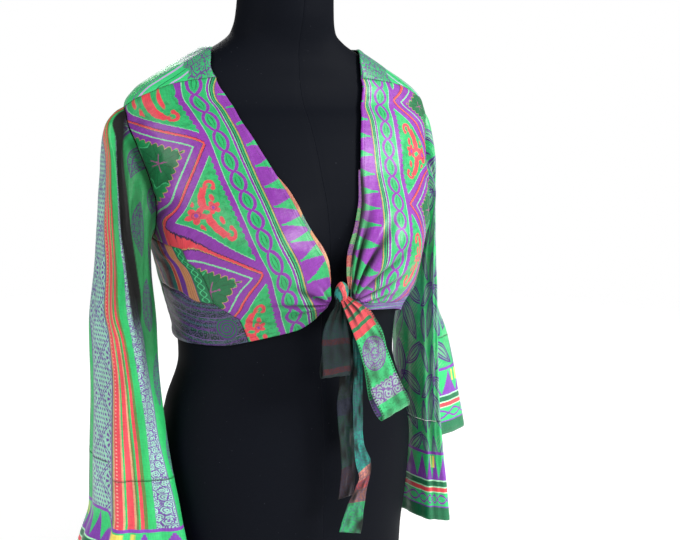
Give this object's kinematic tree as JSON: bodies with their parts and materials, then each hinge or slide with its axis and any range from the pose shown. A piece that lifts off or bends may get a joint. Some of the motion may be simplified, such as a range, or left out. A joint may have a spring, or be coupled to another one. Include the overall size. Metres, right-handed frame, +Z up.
{
  "type": "wrap top on a limbless dress form",
  "caption": "Cropped tie-front wrap top with long wide bell sleeves in printed silk, shown on a black limbless dress form.",
  "frame": {"origin": "centre of the flat base of the dress form", "axes": "+Z up, -Y towards the front of the garment, +X towards the wearer's left"},
  "size_m": [0.5802, 0.2938, 0.792],
  "materials": {
    "silk_green": "satin",
    "silk_dark": "satin",
    "silk_purple": "satin",
    "silk_red": "satin",
    "jersey": "matt"
  },
  "bodies": {
    "root": {"dress_form": "jersey", "back": "silk_green", "front_right": "silk_green", "front_left": "silk_green", "side_right": "silk_red", "side_left": "silk_red", "band_right": "silk_dark", "band_left": "silk_dark", "facing_right": "silk_dark", "facing_left": "silk_dark", "sleeve_right": "silk_green", "sleeve_left": "silk_green", "sleeve_end_right": "silk_purple", "sleeve_end_left": "silk_purple", "tie_knot": "silk_red", "tie_loop_left": "silk_dark", "tie_loop_right": "silk_dark", "tie_tail_right": "silk_dark", "tie_tail_left": "silk_dark"}
  },
  "joints": []
}
